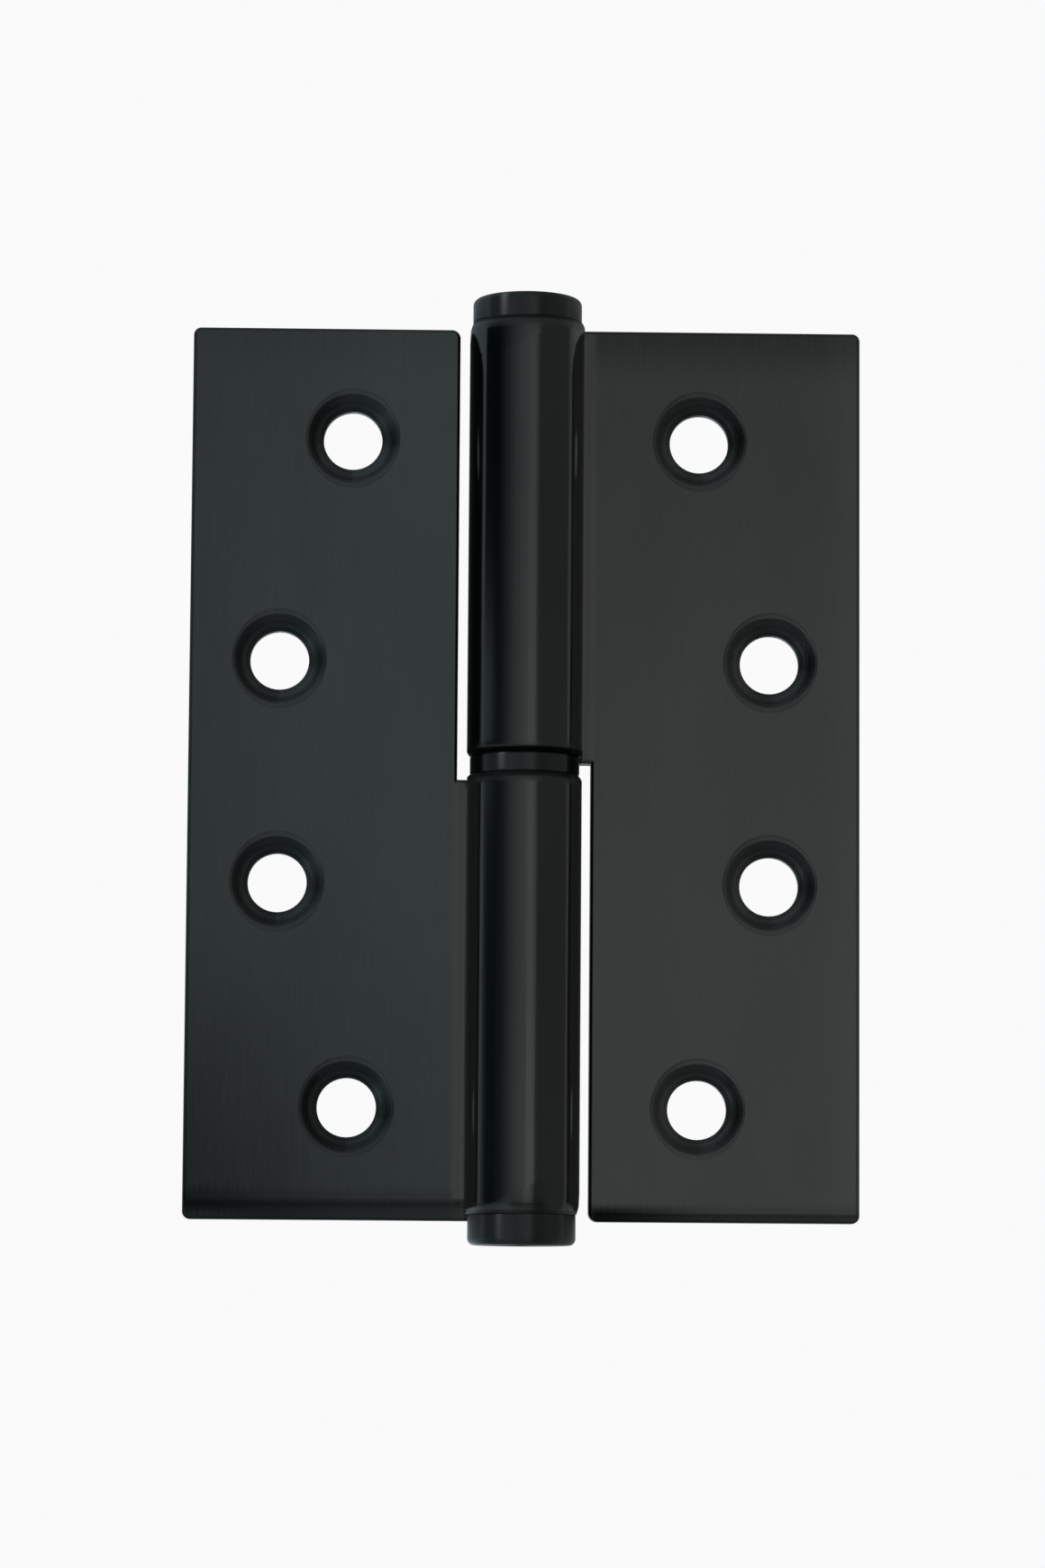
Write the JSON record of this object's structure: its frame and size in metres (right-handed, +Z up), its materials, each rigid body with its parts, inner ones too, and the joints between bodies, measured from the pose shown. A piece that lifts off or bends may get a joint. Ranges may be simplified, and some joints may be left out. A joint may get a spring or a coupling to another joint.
{
  "type": "lift-off hinge",
  "caption": "Flat lift-off butt hinge in rolled sheet steel: frame leaf with fixed pin, door leaf that lifts off, bearing washer between the knuckles, button tips and countersunk holes.",
  "frame": {"origin": "on the pin's axis, half way up the leaves, within a quarter of a millimetre of the centre of the whole", "axes": "+Z up along the pin's axis, +X towards the door leaf's outer edge, +Y out of the back faces that lie on the door and the frame, with the countersinks facing -Y"},
  "size_m": [0.0762, 0.013, 0.1076],
  "materials": {
    "leaf_black": "black tinted, vertically brushed satin on the leaves and polished on the knuckles",
    "turned_black": "black tinted, polished after turning",
    "pin_steel": "bare drawn bar, lightly greased"
  },
  "bodies": {
    "frame": {"frame_leaf": "leaf_black", "hinge_pin": "pin_steel", "bottom_tip": "turned_black"},
    "washer": {"bearing_washer": "turned_black"},
    "door": {"door_leaf": "leaf_black", "top_tip": "turned_black"}
  },
  "joints": [
    {"name": "swing", "type": "hinge", "parent": "frame", "child": "washer", "pos_m": [0, 0, 0], "axis": [0, 0, 1], "range_deg": [-180, 118]},
    {"name": "lift_off", "type": "slide", "parent": "washer", "child": "door", "axis": [0, 0, 1], "range_m": [0, 0.045]}
  ]
}
